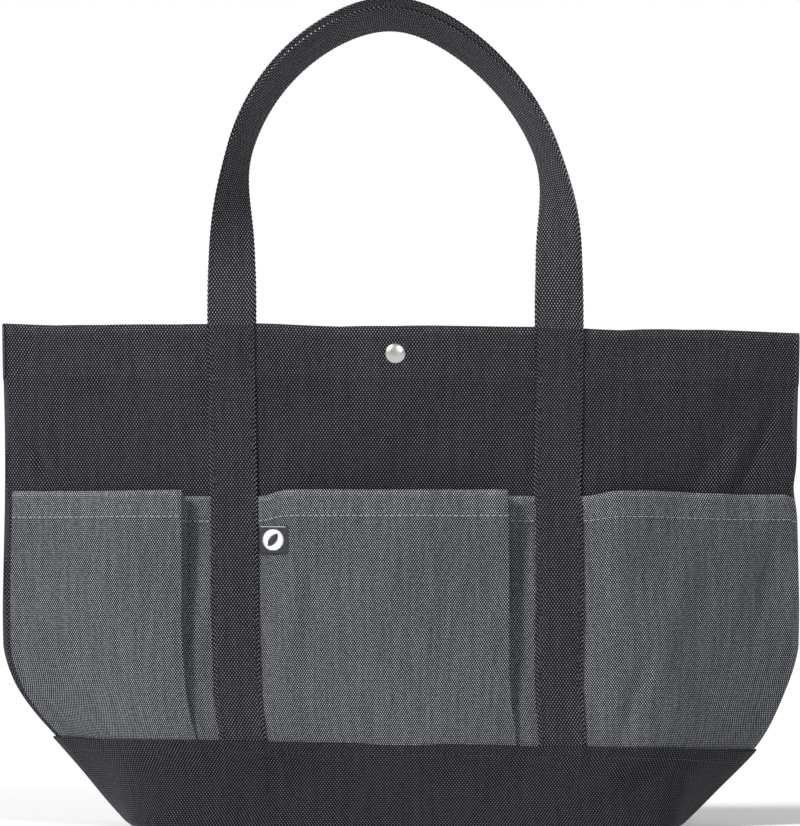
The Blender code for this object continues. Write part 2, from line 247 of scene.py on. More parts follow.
# Distance along the rows and up the columns in metres, averaged so the weave runs true.
def clothUv(grid):
    across = np.linalg.norm(np.diff(grid, axis=1), axis=-1).mean(0)
    up = np.linalg.norm(np.diff(grid, axis=0), axis=-1).mean(1)
    u = np.concatenate([[0], np.cumsum(across)])
    v = np.concatenate([[0], np.cumsum(up)])
    return np.stack(np.meshgrid(u - u[-1] / 2, v), -1)


# Distance travelled at each point of a path.
def travelled(path):
    return np.concatenate([[0], np.cumsum(np.linalg.norm(np.diff(path, axis=0), axis=-1))])


# Columns of values along a path, read at other distances.
def valuesAt(at, run, values):
    return np.stack([np.interp(at, run, column) for column in values.T], -1)


def addObject(name, data):
    made = bpy.data.objects.new(name, data)
    bpy.context.scene.collection.objects.link(made)
    return made


# Makes a piece from a grid of points that closes on itself along one axis, as a tube does:
# its rows (0) or its columns (1). The tube's open ends are capped by joining opposite points.
def gridPiece(name, grid, material, face=front, close=1, uv=None, wearAndHighlight=0):
    wearAndHighlight = np.broadcast_to(wearAndHighlight, grid.shape[:2])
    grid, wearAndHighlight = [np.concatenate([a, a.take([0], close)], close) for a in (grid, wearAndHighlight)]
    uv = clothUv(grid) if uv is None else uv
    rows, columns = grid.shape[:2]
    corner = np.arange(rows * columns).reshape(rows, columns)
    index = corner.copy()
    if close == 0:
        index[-1] = index[0]
        starts = capStrip(index[:-1, 0], corner[:-1, 0])
        ends = capStrip(index[:-1, -1], corner[:-1, -1], True)
    else:
        index[:, -1] = index[:, 0]
        starts = capStrip(index[0, :-1], corner[0, :-1], True)
        ends = capStrip(index[-1, :-1], corner[-1, :-1])
    quads = [[a[:-1, :-1], a[:-1, 1:], a[1:, 1:], a[1:, :-1]] for a in (index, corner)]
    faces, corners = [np.stack(q, -1).reshape(-1, 4) for q in quads]
    smoothFaces = len(faces)
    faces = np.concatenate([faces, starts[0], ends[0]])
    corners = np.concatenate([corners, starts[1], ends[1]])
    if face == back:
        faces, corners = faces[:, ::-1], corners[:, ::-1]
    used, compact = np.unique(faces, return_inverse=True)
    faces = compact.reshape(-1, 4)
    points = grid.reshape(-1, 3)[used]
    mesh = bpy.data.meshes.new(name)
    mesh.vertices.add(len(points))
    mesh.vertices.foreach_set("co", points.astype(np.float32).ravel())
    mesh.loops.add(faces.size)
    mesh.loops.foreach_set("vertex_index", faces.astype(np.int32).ravel())
    mesh.polygons.add(len(faces))
    mesh.polygons.foreach_set("loop_start", np.arange(0, faces.size, 4, dtype=np.int32))
    mesh.polygons.foreach_set("use_smooth", np.arange(len(faces)) < smoothFaces)
    # The wear values, which the cloth material paints lighter: rubbed wear, and painted highlights on
    # hems and selvedges.
    rubbedAndLit = mesh.attributes.new("wearAndHighlight", "FLOAT", "POINT")
    rubbedAndLit.data.foreach_set("value", wearAndHighlight.reshape(-1)[used].astype(np.float32))
    layer = mesh.uv_layers.new(name="cloth")
    layer.data.foreach_set("uv", uv.reshape(-1, 2)[corners].astype(np.float32).ravel())
    mesh.update(calc_edges=True)
    mesh.validate()
    mesh.materials.append(material)
    return addObject(name, mesh)


# Makes a piece from points and quads.
def quadPiece(name, points, faces, material):
    mesh = bpy.data.meshes.new(name)
    mesh.from_pydata(np.asarray(points).tolist(), [], np.asarray(faces).tolist())
    mesh.polygons.foreach_set("use_smooth", np.ones(len(faces), bool))
    mesh.materials.append(material)
    return addObject(name, mesh)


# Quads across a closed loop of points, joining each point to the one opposite it.
def capStrip(index, corner, flip=False):
    half = len(index) // 2
    strips = []
    for line in (index, corner):
        near, far = line[:half], line[::-1][:half]
        strips.append(np.stack([near[:-1], far[:-1], far[1:], near[1:]], -1))
    return [s[:, ::-1] if flip else s for s in strips]


# Merges the points that coincide, which closes a pole, and may turn all faces outwards.
def mergePoles(piece, near=1e-5, outwards=False):
    bm = bmesh.new()
    bm.from_mesh(piece.data)
    bmesh.ops.remove_doubles(bm, verts=bm.verts, dist=near)
    bmesh.ops.dissolve_degenerate(bm, edges=bm.edges, dist=near / 10)
    if outwards:
        bmesh.ops.recalc_face_normals(bm, faces=bm.faces)
    bm.to_mesh(piece.data)
    bm.free()
    return piece


# A piece of canvas with a rolled and turned-in hem along its top row: up the outside, round
# a half circle, down the hem's inside and then down the single cloth to the bottom.
def hemmedCloth(name, grid, material, face, cloth, hem, hemRows, roll=5):
    normal = gridNormals(grid, face)
    upward = unit(grid[-1] - grid[-2])
    turn = np.linspace(0, math.pi, roll + 2)[1:-1, None, None]
    radius = hem / 2
    over = grid[-1] - normal[-1] * radius * (1 - np.cos(turn)) + upward * radius * np.sin(turn)
    thickness = np.full(len(grid), cloth)
    thickness[-hemRows:] = hem
    inside = (grid - normal * thickness[:, None, None])[::-1]
    # Values that lighten the cloth: rubbed wear on the doubled hem, and a painted highlight along its
    # rolled edge.
    wearAndHighlight = np.zeros(len(grid))
    wearAndHighlight[-hemRows:] = 0.30  # the doubled hem is painted lighter as rubbed wear, its rolled edge most of all, also as a painted highlight
    wearAndHighlight[-2:] = 1
    wearAndHighlight = np.concatenate([wearAndHighlight, np.ones(roll), wearAndHighlight[::-1]])[:, None]
    return gridPiece(name, np.concatenate([grid, over, inside]), material, face, close=0, wearAndHighlight=wearAndHighlight)


print("cloth tools ready")


# A new material and its tools. Every input may be a number, a colour, a vector or the output
# of another node. node() returns the new node's outputs.
def shaderTools(name):
    material = bpy.data.materials.new(name)
    material.use_nodes = True
    tree = material.node_tree

    def fill(sockets, values):
        for key, value in values.items():
            if isinstance(value, bpy.types.NodeSocket):
                tree.links.new(value, sockets[key])
            else:
                colour = sockets[key].type == "RGBA"
                sockets[key].default_value = (*value, 1) if colour else value

    def node(kind, values=(), **settings):
        made = tree.nodes.new(kind)
        for key, value in settings.items():
            setattr(made, key, value)
        fill(made.inputs, dict(values))
        return made.outputs

    def calc(operation, *values, clamp=False):
        return node("ShaderNodeMath", enumerate(values), operation=operation, use_clamp=clamp)[0]

    def mix(amount, first, second, blendType="MIX"):
        values = {0: amount, 6: first, 7: second}
        return node("ShaderNodeMix", values, data_type="RGBA", blend_type=blendType)[2]

    def bump(height, strength, distance):
        values = {"Height": height, "Strength": strength, "Distance": distance}
        return node("ShaderNodeBump", values)[0]

    def paint(values):
        fill(tree.nodes["Principled BSDF"].inputs, values)

    return SimpleNamespace(material=material, node=node, calc=calc, mix=mix, bump=bump, paint=paint)


# Plain weave: light crowns of thread on a lattice where every other row is offset by half,
# cos(2 pi u / pitch) times cos(pi v / row), shifted by noise so that no thread is straight.
def wovenMaterial(name, look):
    tools = shaderTools(name)
    calc = tools.calc
    uv = tools.node("ShaderNodeUVMap", uv_map="cloth")[0]
    u, v = tools.node("ShaderNodeSeparateXYZ", {0: uv})[:2]

    def noise(scaleU, scaleV, detail=2.0, roughness=0.5):
        place = tools.node("ShaderNodeMapping", {0: uv, "Scale": (scaleU, scaleV, 1)})[0]
        values = {0: place, "Scale": 1, "Detail": detail, "Roughness": roughness}
        return tools.node("ShaderNodeTexNoise", values, noise_dimensions="2D")["Fac"]

    uShift = calc("MULTIPLY_ADD", noise(60, 60), look["drift"], u)
    vShift = calc("MULTIPLY_ADD", noise(48, 70), look["drift"], v)
    if "edge" in look:  # webbing: towards its two edges the picks slant into a chevron
        inEdge = calc("MAXIMUM", calc("SUBTRACT", calc("ABSOLUTE", u), look["edge"]), 0.0)
        vShift = calc("MULTIPLY_ADD", inEdge, look["slant"], vShift)
    ends = calc("COSINE", calc("MULTIPLY", uShift, 2 * math.pi / look["pitch"]))
    picks = calc("COSINE", calc("MULTIPLY", vShift, math.pi / look["row"]))
    height = calc("MULTIPLY_ADD", calc("MULTIPLY", ends, picks), 0.5, 0.5, clamp=True)
    slubs = noise(0.5 / look["pitch"], 22, 3.0, 0.6)
    flecks = noise(0.55 / look["pitch"], 0.55 / look["row"], 1.0, 0.7)
    flecks = calc("MULTIPLY_ADD", flecks, look["fleck"], 1 - look["fleck"] / 2)
    light = calc("POWER", height, look["sharpness"])
    light = calc("MULTIPLY", light, calc("MULTIPLY_ADD", slubs, 0.9, 0.55))
    colour = tools.mix(calc("MULTIPLY", light, flecks), look["gap"], look["crown"])
    fading = calc("MULTIPLY_ADD", noise(9, 9, 4.0, 0.55), look["fade"] * 2, 1 - look["fade"])
    # Where the wear attribute is set the cloth is painted lighter: partly rubbed wear, partly a painted
    # highlight on the rolled hems and the selvedges.
    rubbedAndLit = tools.node("ShaderNodeAttribute", attribute_name="wearAndHighlight")["Fac"]
    scuffsAndHighlights = calc("MULTIPLY", rubbedAndLit, noise(160, 160, 3.0, 0.6))
    fading = calc("MULTIPLY_ADD", scuffsAndHighlights, 1.1, fading)
    tone = tools.node("ShaderNodeCombineColor", {0: fading, 1: fading, 2: fading})[0]
    tools.paint({
        "Base Color": tools.mix(1.0, colour, tone, "MULTIPLY"),
        "Roughness": calc("MULTIPLY_ADD", height, -0.12, look["roughness"]),
        "Normal": tools.bump(height, look["bump"], 0.0004),
        "Sheen Weight": look["sheen"], "Sheen Roughness": 0.45, "Sheen Tint": (0.8, 0.85, 1.0),
        "Specular IOR Level": 0.15,
    })
    return tools.material


canvas = {
    "pitch": 0.00195, "row": 0.00143, "drift": 0.0009, "sharpness": 6.0, "fleck": 1.0,
    "gap": (0.002, 0.002, 0.003), "crown": (0.238, 0.234, 0.265),
    "fade": 0.16, "roughness": 0.92, "bump": 0.7, "sheen": 0.05,
}
darkCanvas = wovenMaterial("charcoalCanvas", canvas)
bandCanvas = wovenMaterial("baseCanvas", canvas | {
    "pitch": 0.00175, "row": 0.00130, "crown": (0.170, 0.166, 0.188),
})
greyCanvas = wovenMaterial("greyCanvas", canvas | {
    "pitch": 0.00155, "row": 0.00120, "drift": 0.0006, "sharpness": 5.5, "fleck": 1.1,
    "gap": (0.005, 0.006, 0.007), "crown": (0.610, 0.635, 0.680),
    "fade": 0.14, "bump": 0.6, "sheen": 0.06,
})
webbing = canvas | {
    "drift": 0.0006, "crown": (0.250, 0.246, 0.278), "edge": 0.0126, "slant": 0.45,
    "fade": 0.10, "roughness": 0.86, "bump": 0.8,
}
webbingCloth = wovenMaterial("charcoalWebbing", webbing)
paleHandleCloth = wovenMaterial("paleHandleWebbing", webbing | {  # a paler copy of the webbing, for the handles
    "gap": (0.004, 0.004, 0.005), "crown": (0.350, 0.345, 0.386), "fade": 0.14,
})
tape = canvas | {
    "pitch": 0.0011, "row": 0.0008, "drift": 0.0003, "sharpness": 1.6, "gap": (0.010, 0.010, 0.012),
    "crown": (0.080, 0.080, 0.088), "fade": 0.10, "roughness": 0.9, "bump": 0.5, "sheen": 0.10,
}
bindingTape = wovenMaterial("seamBinding", tape)
labelCloth = wovenMaterial("labelCloth", tape | {
    "pitch": 0.0008, "row": 0.0006, "drift": 0.0002, "sharpness": 1.2, "fleck": 0.8,
    "gap": (0.012, 0.012, 0.014), "crown": (0.062, 0.064, 0.070), "roughness": 0.75, "bump": 0.4,
})


# Twisted sewing thread: fine slanted bands along each stitch.
def threadMaterial(name, dark, light):
    tools = shaderTools(name)
    values = {0: tools.node("ShaderNodeTexCoord")["Object"], "Scale": 900, "Distortion": 1.2}
    bands = {"wave_type": "BANDS", "bands_direction": "DIAGONAL"}
    ply = tools.node("ShaderNodeTexWave", values, **bands)["Fac"]
    tools.paint({
        "Base Color": tools.mix(ply, dark, light), "Roughness": 0.7, "Sheen Weight": 0.2,
        "Normal": tools.bump(ply, 0.4, 0.0001),
    })
    return tools.material


darkThread = threadMaterial("charcoalThread", (0.005, 0.005, 0.006), (0.022, 0.022, 0.025))
paleThread = threadMaterial("greyThread", (0.20, 0.205, 0.215), (0.42, 0.43, 0.45))
whiteThread = threadMaterial("whiteThread", (0.62, 0.64, 0.66), (0.85, 0.87, 0.90))


# Satin nickel: a fine grain varies its colour and its roughness.
def nickelMaterial():
    tools = shaderTools("satinNickel")
    values = {0: tools.node("ShaderNodeTexCoord")["Object"], "Scale": 1400, "Detail": 4}
    grain = tools.node("ShaderNodeTexNoise", values)["Fac"]
    tools.paint({
        "Base Color": tools.mix(grain, (0.46, 0.455, 0.44), (0.62, 0.61, 0.59)),
        "Roughness": tools.calc("MULTIPLY_ADD", grain, 0.16, 0.26), "Metallic": 1.0,
        "Normal": tools.bump(grain, 0.08, 0.0001),
    })
    return tools.material


nickel = nickelMaterial()
print("materials ready")


wallFoot = np.array([0, -halfDepth(bag["bandHeight"]), bag["bandHeight"]])


# Bakes the wall's transform into its points.
def bendWall(piece):
    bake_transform(piece)


# Bakes the transform of a strap or the middle pocket into its points.
def bendMiddle(piece):
    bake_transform(piece)


# Bakes an outer pocket's transform into its points.
def bendSide(piece):
    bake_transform(piece)


stitch = {"length": 0.0030, "gap": 0.0010, "thick": 0.00055, "sides": 6}
onCloth = 0.0001  # how far a stitch's line stands off the cloth


# One stitch is a short rounded rod: its radius goes as the fourth root of 1 - t squared, and
# it dips into the cloth at both ends.
def stitchShape():
    sides, thick = stitch["sides"], stitch["thick"]
    t = np.array([-1, -0.86, -0.45, 0.45, 0.86, 1])
    radius = thick / 2 * np.maximum(1 - t**2, 0) ** 0.25
    around = np.arange(sides) * 2 * math.pi / sides
    along = np.repeat(t * stitch["length"] / 2, sides)
    across = np.outer(radius, np.cos(around)).ravel()
    up = (np.outer(radius, np.sin(around)) - 0.35 * thick * (t**2)[:, None]).ravel()
    return np.stack([along, across, up], -1), ringQuads(len(t), sides)


# Quads between neighbouring rings of points, for one rod.
def ringQuads(rings, sides):
    index = np.arange(rings * sides).reshape(rings, sides)
    ahead = np.roll(index, -1, 1)
    return np.stack([index[:-1], ahead[:-1], ahead[1:], index[1:]], -1).reshape(-1, 4)


# The same quads again for each copy of a shape that has this many points.
def copyFaces(faces, copies, points):
    return (faces + np.arange(copies)[:, None, None] * points).reshape(-1, 4)


# Lays stitches end to end along paths of points on the cloth, each path with its normals.
def stitchPiece(name, lines, material):
    shape, shapeFaces = stitchShape()
    reach = 0.4 * stitch["length"]
    points = []
    for path, normal in lines:
        run = travelled(path)
        count = max(1, int(run[-1] / (stitch["length"] + stitch["gap"])))
        at = (np.arange(count) + 0.5) * run[-1] / count
        along = unit(valuesAt(at + reach, run, path) - valuesAt(at - reach, run, path))
        up = unit(valuesAt(at, run, normal))
        across = unit(np.cross(up, along))
        placed = np.einsum("kj,nji->nki", shape, np.stack([along, across, up], 1))
        points.append((valuesAt(at, run, path)[:, None] + placed).reshape(-1, 3))
    points = np.concatenate(points)
    faces = copyFaces(shapeFaces, len(points) // len(shape), len(shape))
    return mergePoles(quadPiece(name, points, faces, material))


# A line on the bare wall, with its normals: s and z may both vary along it.
def wallLine(s, z, lift, face):
    path = clothPoint(s, z, lift, face)
    return path, unit(clothPoint(s, z, lift + 0.002, face) - path)


wall = {"cloth": 0.0013, "hem": 0.0030, "hemDepth": 0.034, "foot": 0.040, "rows": 128, "columns": 231}


def makeWall(face):
    v = np.linspace(0, 1, wall["rows"])[:, None]
    z = wall["foot"] + (bag["rimHeight"] - wall["foot"]) * v
    s = (wallRun(z) - 0.0006) * np.linspace(-1, 1, wall["columns"])[None]
    inHem = smooth((z - bag["rimHeight"] + wall["hemDepth"] + 0.002) / 0.003)
    grid = clothPoint(s, z, 0.0004 * inHem, face)
    hemRows = int(wall["hemDepth"] / (bag["rimHeight"] - wall["foot"]) * wall["rows"])
    name = faceNames[face]
    piece = hemmedCloth(name + "Wall", grid, darkCanvas, face, wall["cloth"], wall["hem"], hemRows)
    bendWall(piece)
    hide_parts(*[f"{name}_panel_{part}" for part in ("left", "middle", "right")])
    hemLine = bag["rimHeight"] - wall["hemDepth"]
    run, share = wallRun(hemLine) - 0.004, np.linspace(-1, 1, 400)
    outer = wallLine(run * share, hemLine, 0.0002, face)
    inner = wallLine((run - 0.004) * share, hemLine + 0.0012, -wall["hem"] - onCloth, face)
    stitches = stitchPiece(name + "RimStitches", [outer, (inner[0], -inner[1])], darkThread)
    bendWall(stitches)


for face in (front, back):
    makeWall(face)
print("walls made")


strap = {
    "width": strapBoxes[1][1][0] - strapBoxes[1][0][0],
    "thick": 0.0019,
    "foot": 0.0455,
    "leanLeft": 0.0062,  # the foot of the left strap stands in by this much
    "leanRight": -0.0008,
    "scallop": 0.00028,
    "scallopPitch": 0.0029,
    "selvedge": 0.00018,
    "around": 44,
    "step": 0.00072,
    "seamInset": 0.0028,
    "tackHalf": 0.0115,
}


def strapMiddle(side, z):
    low, high = strapBoxes[side]
    lean = strap["leanLeft"] if side < 0 else strap["leanRight"]
    return (low[0] + high[0]) / 2 + lean * np.clip(1 - z / bag["rimHeight"], 0, 1) ** 1.4


# Points round a superellipse of half size 1: the plain cosine, then x and y, where a power
# under 1 squares it off.
def superellipse(count, powerX, powerY):
    angle = np.linspace(0, 2 * math.pi, count, endpoint=False)[None]
    c, s = np.cos(angle), np.sin(angle)
    return c, np.sign(c) * np.abs(c) ** powerX, np.sign(s) * np.abs(s) ** powerY


# Section of the webbing: a flat superellipse, whose edges swell and shrink with each turn of
# the weft. across is the sideways distance and up the height, for each distance along.
def webbingSection(along):
    c, x, y = superellipse(strap["around"], 0.30, 0.55)
    edge = np.abs(c) ** 6
    beat = np.cos(2 * math.pi * along[:, None] / strap["scallopPitch"])
    across = strap["width"] / 2 * x + np.sign(x) * edge * strap["scallop"] * beat
    up = strap["thick"] / 2 * y + strap["selvedge"] * edge * np.sign(y)
    # The third value, strongest at the two selvedges, paints them lighter: partly rubbing, partly a
    # painted highlight.
    return across, up, 0.6 * edge


# UV of webbing: u across its width and v along it, the same on both faces.
def webbingUv(across, along):
    across = np.concatenate([across, across[:, :1]], 1)
    return np.stack([across, np.broadcast_to(along[:, None], across.shape)], -1)


# How far the strap's middle stands off the wall: over the pocket's edges, then on the wall.
def strapLift(z):
    overPocket = 1 - smooth((z - bag["pocketHeight"] + 0.003) / 0.012)
    return 0.0010 + 0.0013 * overPocket + 0.0006 * smooth((z - 0.29) / 0.02)


def makeStrap(side, face):
    z = np.arange(strap["foot"], bag["rimHeight"] + 1e-6, strap["step"])
    z = np.append(z, bag["rimHeight"])
    across, up, wearAndHighlight = webbingSection(z)
    s = strapMiddle(side, z)[:, None] + across
    grid = clothPoint(s, z[:, None], strapLift(z)[:, None] + up, face)
    name = f"{faceNames[face]}Strap{sideNames[side]}"
    piece = gridPiece(name, grid, webbingCloth, face, uv=webbingUv(across, z), wearAndHighlight=wearAndHighlight)
    bendMiddle(piece)
    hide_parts(f"{faceNames[face]}_strap_{sideNames[side].lower()}")
    seams = []
    for edge in (-1, 1):
        z = np.linspace(bag["bandHeight"] + 0.001, bag["rimHeight"] - 0.004, 300)
        seams.append((strapMiddle(side, z) + edge * (strap["width"] / 2 - strap["seamInset"]), z))
    for drop in (0.0035, wall["hemDepth"]):
        z = np.full(40, bag["rimHeight"] - drop)
        tack = np.linspace(-1, 1, 40) * strap["tackHalf"]
        seams.append((strapMiddle(side, bag["rimHeight"]) + tack, z))
    top = strap["thick"] / 2 + onCloth
    lines = [wallLine(s, z, strapLift(z) + top, face) for s, z in seams]
    stitches = stitchPiece(name + "Stitches", lines, darkThread)
    bendMiddle(stitches)


handle = {
    "leg": {-1: 0.078, 1: 0.068},  # height where each leg starts to bend over
    "fullness": {-1: 1.14, 1: 1.40},  # the left shoulder stands rounder than the right one
    "spread": {front: -0.0010, back: 0.0012},  # the back arch is a little wider
    "twist": math.radians(61),
    "twistFrom": 0.012,
    "twistTo": 0.112,
    "settle": 0.045,  # height over which a leg leaves the strap's own line
    "cup": 0.0006,
    "crown": 0.0014,  # makes up for the height that easing takes off the arch
}


# Each half of the handle's centre line is a straight leg, then an arch with x as a power of
# the cosine and the height as the sine of one angle. Returned as x and height, evenly spaced.
def handleLine(top, footX, spread):
    halves = []
    for side in (1, -1):
        foot = handle["leg"][side]
        climb = np.linspace(0, foot, 40)[:-1]
        angle = np.linspace(0, math.pi / 2, 300)
        wide = footX + spread * smooth(climb / foot)
        arch = (footX + spread) * np.cos(angle) ** handle["fullness"][side]
        x = side * np.concatenate([wide, arch])
        height = np.concatenate([climb, foot + (top - foot) * np.sin(angle)])
        halves.append(np.stack([x, height], -1))
    line = np.concatenate([halves[0], halves[1][-2::-1]])
    run = travelled(line)
    even = np.linspace(0, run[-1], int(run[-1] / strap["step"]))
    line = valuesAt(even, run, line)
    bell = np.exp(-((np.linspace(-2.4, 2.4, 101)) ** 2) / 2)  # eases the crown of the arch
    padded = np.concatenate([2 * line[0] - line[50:0:-1], line, 2 * line[-1] - line[-2:-52:-1]])
    eased = [np.convolve(padded[:, k], bell / bell.sum(), "valid") for k in (0, 1)]
    return np.stack(eased, -1), even


# The strap's last section at the rim: its middle, the way across it and the way out.
def strapTop(side, face):
    z = np.array([bag["rimHeight"]])
    s, lift = strapMiddle(side, z), strapLift(z)
    ends = [clothPoint(s + e * strap["width"] / 2, z, lift, face)[0] for e in (-1, 1)]
    middle = clothPoint(s, z, lift, face)[0]
    out = clothPoint(s, z, lift + 0.001, face)[0] - middle
    return middle, unit(ends[1] - ends[0]), unit(out)


def makeHandle(face):
    node = faceNames[face] + "_handle"
    low, high = cadBox(node)
    centreX = (low[0] + high[0]) / 2
    footX = strapBoxes[1][0][0] + strap["width"] / 2 - centreX
    edgeOn = 2 * handle["cup"] * math.sin(handle["twist"])
    halfTall = strap["width"] / 2 * math.cos(handle["twist"]) + edgeOn
    top = high[2] - halfTall - bag["rimHeight"] + handle["crown"]
    line, along = handleLine(top, footX, handle["spread"][face])
    x, height = line[:, 0], line[:, 1]
    y = np.full_like(x, (low[1] + high[1]) / 2)
    middle = np.stack([centreX + x, y, bag["rimHeight"] + height], -1)
    ahead = unit(np.gradient(middle, axis=0))
    outward = np.stack([ahead[:, 2], np.zeros_like(x), -ahead[:, 0]], -1)
    turning = (height - handle["twistFrom"]) / (handle["twistTo"] - handle["twistFrom"])
    twist = (handle["twist"] * smooth(turning))[:, None]
    across = outward * np.cos(twist) + np.array([0, -1, 0]) * np.sin(twist)
    up = np.cross(ahead, across)
    for side in (1, -1):
        footMiddle, footAcross, footOut = strapTop(side, face)
        leave = ((1 - smooth(height / handle["settle"])) * (np.sign(x) == side))[:, None]
        startLine = footMiddle + np.array([0, 0, 1]) * height[:, None]
        middle = middle * (1 - leave) + startLine * leave
        across = unit(across * (1 - leave) + footAcross * side * leave)
        up = unit(up * (1 - leave) + footOut * face * leave)
    up = unit(up - across * np.sum(up * across, -1, keepdims=True))
    w, h, wearAndHighlight = webbingSection(along)
    cup = handle["cup"] * (w / strap["width"] * 2) ** 2 * smooth(height / 0.08)[:, None]
    grid = middle[:, None] + across[:, None] * w[..., None] + up[:, None] * (h + cup)[..., None]
    name, hinge = faceNames[face], bag["rimHeight"]
    piece = gridPiece(name + "Handle", grid, paleHandleCloth, uv=webbingUv(w, along), wearAndHighlight=wearAndHighlight)
    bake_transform(piece)
    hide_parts(node)


for face in (front, back):
    for side in (-1, 1):
        makeStrap(side, face)
    makeHandle(face)
print("straps and handles made")


pocket = {
    "foot": 0.0445,
    "cloth": 0.0010,
    "hem": 0.0022,
    "hemDepth": 0.0165,
    "onWall": 0.0012,  # outer face of a pocket where it lies on the wall
    "depthTop": 0.0140,
    "rightDepth": 0.6,  # the right pocket stands off less than the others
    "leftFold": -0.1364,
    "middleRidge": -0.0660,
    "middleFold": 0.0684,
    "rightRidge": 0.1375,
    "rows": 96,
    "sink": 0.0016,
    "drop": 0.0030,  # the mouth is this much lower where it is caught under a strap
    "cornerDrop": 0.002,
}


# Cuts the corners of every row's polyline a few times, which rounds them.
def roundCorners(points, times):
    for _ in range(times):
        near, far = points[:, :-1], points[:, 1:]
        cut = np.stack([0.75 * near + 0.25 * far, 0.25 * near + 0.75 * far], 2)
        cut = cut.reshape(len(points), -1, 2)
        points = np.concatenate([points[:, :1], cut, points[:, -1:]], 1)
    return points


# Spaces each row's polyline evenly.
def evenColumns(points, columns):
    rows = []
    for row in points:
        run = travelled(row)
        rows.append(valuesAt(np.linspace(0, run[-1], columns), run, row))
    return np.array(rows)


# Each section is a polyline of (distance along the wall, lift off it) for every height v from
# 0 at the foot to 1 at the mouth. A ridge slopes up from the strap's edge; a fold turns sharply
# back, runs steeply down to the wall and then lies on it to the strap's edge.
def section(place, depth, steps):
    return [(place + step, pocket["onWall"] + share * depth) for step, share in steps]


def ridgeSide(edge, ridge, depth):
    slope = [(-0.0060, 0.80), (-0.0010, 0.99), (0.0010, 1.02), (0.010, 0.99)]
    return section(edge, depth, [(-0.004, 0), (0.002, 0)]) + section(ridge, depth, slope)


def foldSide(edge, fold, depth, run):
    crest = [(-0.022, 1.02), (-0.0060, 1.01), (-0.0020, 1.01), (-0.0003, 1), (0, 0.96), (-0.0008, 0.90)]
    under = [(-0.20, 0.70), (-0.26, 0.30), (-0.10, 0.02), (0.15, 0), (1, 0)]
    steps = crest + [(run * step, share) for step, share in under]
    return section(fold, depth, steps) + section(edge, depth, [(-0.001, 0), (0.004, 0)])


# An outer pocket's cloth comes down gently to the side seam.
def seamSide(v, depth, way, inset):
    end = way * (wallRun(pocketRowHeight(v)) - inset)
    return section(end, depth, [(way * -0.070, 0.74), (way * -0.030, 0.36), (way * -0.009, 0.10), (0, 0)])


def pocketRowHeight(v):
    return pocket["foot"] + (bag["pocketHeight"] - pocket["foot"]) * v


def pocketSection(part, v):
    z = pocketRowHeight(v)
    depth = pocket["depthTop"] * (1 - (1 - v) ** 3) * (0.85 + 0.15 * v)
    low = (1 - v) ** 5  # folds and ridges spread a little at the foot
    half = strap["width"] / 2
    opened = smooth(v * 1.5)
    left, right = strapMiddle(-1, z), strapMiddle(1, z)
    if part == "left":
        fold = pocket["leftFold"] + 0.0052 * low
        chain = seamSide(v, depth, -1, 0.0062)[::-1]
        chain += foldSide(left - half, fold, depth, 0.0004 + 0.0112 * opened)
    elif part == "middle":
        chain = ridgeSide(left + half, pocket["middleRidge"] - 0.0060 * low**0.5, depth)
        chain += [(0.0, depth + 0.0030)]
        fold = pocket["middleFold"] + 0.0040 * low
        chain += foldSide(right - half, fold, depth, 0.0004 + 0.0128 * opened)
    else:
        depth = pocket["rightDepth"] * depth
        chain = ridgeSide(right + half, pocket["rightRidge"], depth)
        chain += seamSide(v, depth, 1, 0.0022)
    return np.stack([np.stack(np.broadcast_arrays(s, lift), -1) for s, lift in chain], 1)


# Soft folds in the pockets, in the same terms as the creases of the walls.
pocketFolds = {
    "left": [
        (-0.205, 0.110, 50, 0.050, 0.012, -0.0018), (-0.180, 0.150, 75, 0.060, 0.014, 0.0014),
        (-0.225, 0.160, 88, 0.060, 0.010, -0.0012),
    ],
    "middle": [
        (-0.060, 0.112, 82, 0.042, 0.0085, -0.0034), (-0.030, 0.095, 55, 0.040, 0.012, -0.0014),
        (-0.015, 0.150, 80, 0.055, 0.016, 0.0016),
        (0.040, 0.100, -62, 0.040, 0.012, -0.0014), (0.030, 0.165, 84, 0.050, 0.013, -0.0010),
    ],
    "right": [
        (0.147, 0.080, 70, 0.030, 0.0065, -0.0036), (0.168, 0.120, 64, 0.050, 0.013, 0.0018),
        (0.195, 0.150, 80, 0.060, 0.014, -0.0014), (0.215, 0.105, -48, 0.040, 0.012, -0.0014),
    ],
}


